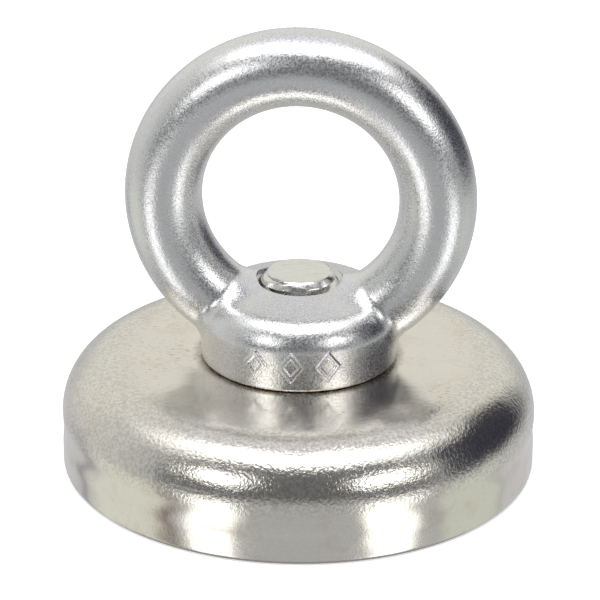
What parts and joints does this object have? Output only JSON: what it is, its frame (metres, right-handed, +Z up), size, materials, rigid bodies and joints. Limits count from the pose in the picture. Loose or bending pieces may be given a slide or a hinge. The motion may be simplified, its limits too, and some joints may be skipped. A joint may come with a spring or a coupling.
{
  "type": "magnet fishing magnet",
  "caption": "Round steel pot magnet with a countersunk socket screw up through it and a cast ring eye nut screwed down on top.",
  "frame": {"origin": "centre of the pot's bottom rim, on the pot's axis", "axes": "+Z up along the screw from the magnet's face to the ring; +X across the ring, which lies in the XZ plane; -Y is the side that faces the viewer"},
  "size_m": [0.048, 0.048, 0.0458],
  "materials": {
    "pot_plating": "bright nickel plate on drawn steel, orange peel on the shoulder",
    "magnet_plating": "satin nickel plate on sintered magnet",
    "adhesive": "cured film adhesive",
    "potting_resin": "cast epoxy",
    "screw_plating": "bright nickel plate",
    "cast_stainless": "tumbled cast stainless steel, fine grain"
  },
  "bodies": {
    "pot": {"pot_shell": "pot_plating", "ring_magnet": "magnet_plating", "bond_film": "adhesive", "potting_ring": "potting_resin"},
    "screw": {"countersunk_screw": "screw_plating"},
    "eye": {"eye_nut": "cast_stainless"}
  },
  "joints": [
    {"name": "screw_turn", "type": "hinge", "parent": "pot", "child": "screw", "pos_m": [0, 0, 0], "axis": [0, 0, -1], "range_deg": [0, 2160]},
    {"name": "eye_nut_travel", "type": "slide", "parent": "pot", "child": "eye", "axis": [0, 0, 1], "range_m": [0, 0.0075]}
  ],
  "couplings": [
    {"joint": "screw_turn", "follows": "eye_nut_travel", "rad_per_m": 5026.5}
  ]
}
